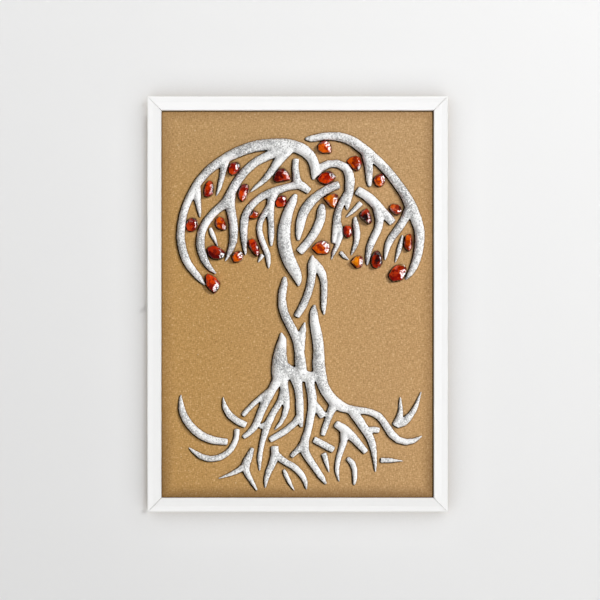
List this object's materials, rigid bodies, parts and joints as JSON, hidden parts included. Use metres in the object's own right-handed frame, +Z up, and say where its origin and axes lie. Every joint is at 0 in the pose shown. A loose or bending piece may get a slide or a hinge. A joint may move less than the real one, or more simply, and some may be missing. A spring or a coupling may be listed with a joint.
{
  "type": "framed clay relief tree of life",
  "caption": "White mitred frame with a kraft-faced board that carries a raised white clay tree of life and amber chips. The back has turn buttons and a hanging ring.",
  "frame": {"origin": "middle of the bottom rail's underside, half way through the frame's depth", "axes": "+X to the right seen from the front, +Z up, and the art faces -Y"},
  "size_m": [0.227, 0.017, 0.314],
  "materials": {
    "white_paint": "satin white paint over wood",
    "kraft_card": "matte brown kraft paper with dark flecks",
    "hardboard": "bare hardboard",
    "zinc_steel": "zinc plated",
    "brass_plate": "brass plated",
    "white_clay": "matte, grainy air-dry clay",
    "amber_orange": "polished translucent orange",
    "amber_honey": "polished translucent honey yellow",
    "amber_red": "polished translucent deep red",
    "amber_dark": "polished, almost black red"
  },
  "bodies": {
    "picture": {"frame_bottom": "white_paint", "frame_top": "white_paint", "frame_left": "white_paint", "frame_right": "white_paint", "art_board": "kraft_card", "back_panel": "hardboard", "turn_screw_left": "zinc_steel", "turn_screw_right": "zinc_steel", "hanger_strap": "brass_plate", "hanger_rivet": "brass_plate", "clay_crown_left_arch": "white_clay", "clay_crown_inner_left": "white_clay", "clay_crown_right_arch": "white_clay", "clay_crown_right_fork": "white_clay", "clay_crown_upper_strand": "white_clay", "clay_crown_lower_strand": "white_clay", "clay_crown_right_twig": "white_clay", "clay_crown_right_wedge": "white_clay", "clay_trunk_s_strand": "white_clay", "clay_trunk_fork": "white_clay", "clay_trunk_and_roots": "white_clay", "clay_root_far_left_arc": "white_clay", "clay_root_left_spur": "white_clay", "clay_root_left_hook": "white_clay", "clay_root_left_y": "white_clay", "clay_root_middle_y": "white_clay", "clay_root_middle_sliver": "white_clay", "clay_root_right_tee": "white_clay", "clay_root_right_bar": "white_clay", "clay_root_right_wedge": "white_clay", "clay_root_right_hook": "white_clay", "clay_root_far_right_v": "white_clay", "amber_chip_01": "amber_orange", "amber_chip_02": "amber_orange", "amber_chip_03": "amber_red", "amber_chip_04": "amber_dark", "amber_chip_05": "amber_red", "amber_chip_06": "amber_orange", "amber_chip_07": "amber_red", "amber_chip_08": "amber_red", "amber_chip_09": "amber_honey", "amber_chip_10": "amber_red", "amber_chip_11": "amber_orange", "amber_chip_12": "amber_orange", "amber_chip_13": "amber_dark", "amber_chip_14": "amber_orange", "amber_chip_15": "amber_red", "amber_chip_16": "amber_red", "amber_chip_17": "amber_orange", "amber_chip_18": "amber_orange", "amber_chip_19": "amber_red", "amber_chip_20": "amber_dark", "amber_chip_21": "amber_orange", "amber_chip_22": "amber_dark", "amber_chip_23": "amber_honey", "amber_chip_24": "amber_red", "amber_chip_25": "amber_red"},
    "button_left": {"turn_button_left": "zinc_steel"},
    "button_right": {"turn_button_right": "zinc_steel"},
    "ring": {"hanger_ring": "brass_plate"}
  },
  "joints": [
    {"name": "button_left_turn", "type": "hinge", "parent": "picture", "child": "button_left", "pos_m": [-0.1095, 0.0073, 0.157], "axis": [0, 1, 0], "continuous": true},
    {"name": "button_right_turn", "type": "hinge", "parent": "picture", "child": "button_right", "pos_m": [0.1095, 0.0073, 0.157], "axis": [0, 1, 0], "continuous": true},
    {"name": "ring_swing", "type": "hinge", "parent": "picture", "child": "ring", "pos_m": [0, 0.0085, 0.287], "axis": [-1, 0, 0], "range_deg": [0, 180]}
  ]
}
